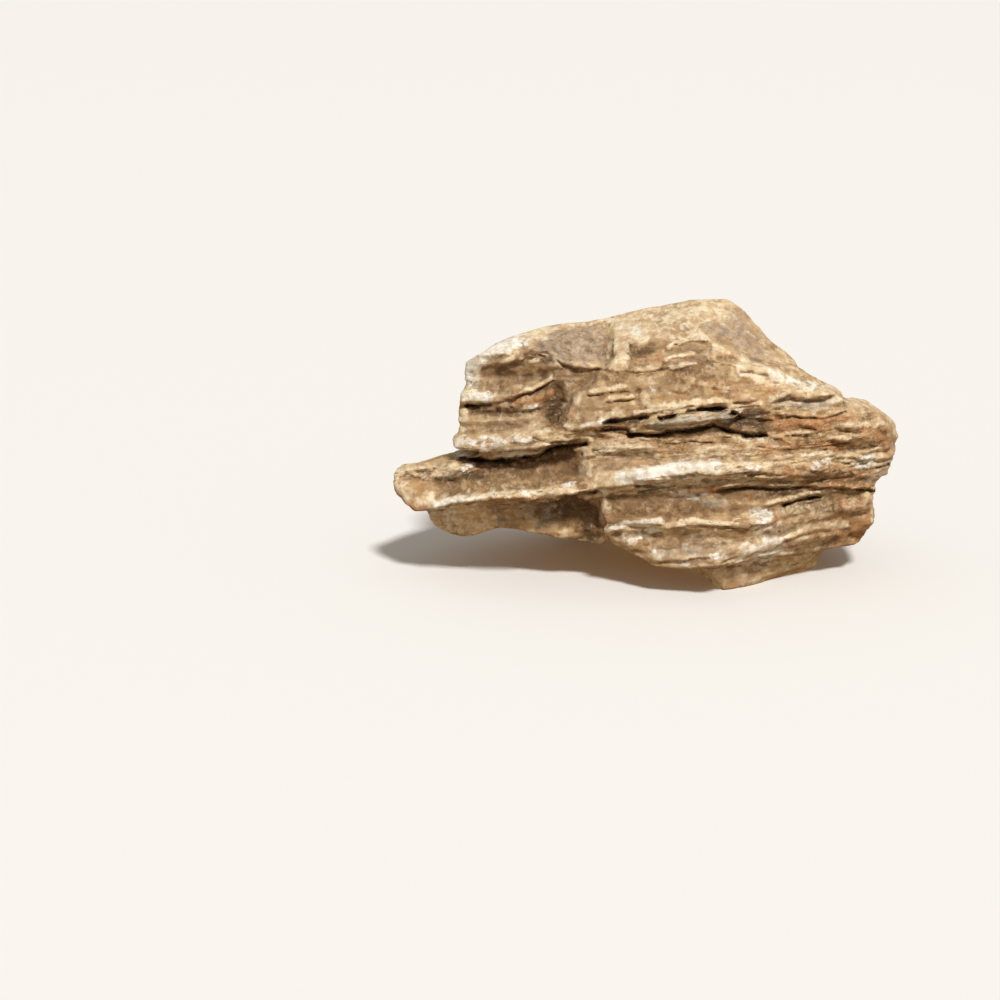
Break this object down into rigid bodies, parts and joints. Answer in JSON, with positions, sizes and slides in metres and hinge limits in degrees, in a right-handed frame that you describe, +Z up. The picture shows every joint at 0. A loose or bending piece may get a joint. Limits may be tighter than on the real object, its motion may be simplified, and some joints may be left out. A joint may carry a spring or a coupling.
{
  "type": "pagoda rock",
  "caption": "Loose piece of thin-bedded buff stone with worn ledges and an overhanging plate, resting on one broad flat foot.",
  "frame": {"origin": "middle of the bounding box's base, on the surface that the stone rests on", "axes": "+Z up, +X to the right along the stone's length, +Y to the back; the ledged face looks to -Y"},
  "size_m": [0.2794, 0.1616, 0.1482],
  "materials": {
    "buff_stone": "dry, rough, broken and weathered; cream on the ledge edges, brown in the cracks"
  },
  "bodies": {
    "root": {"stone": "buff_stone"}
  },
  "joints": []
}
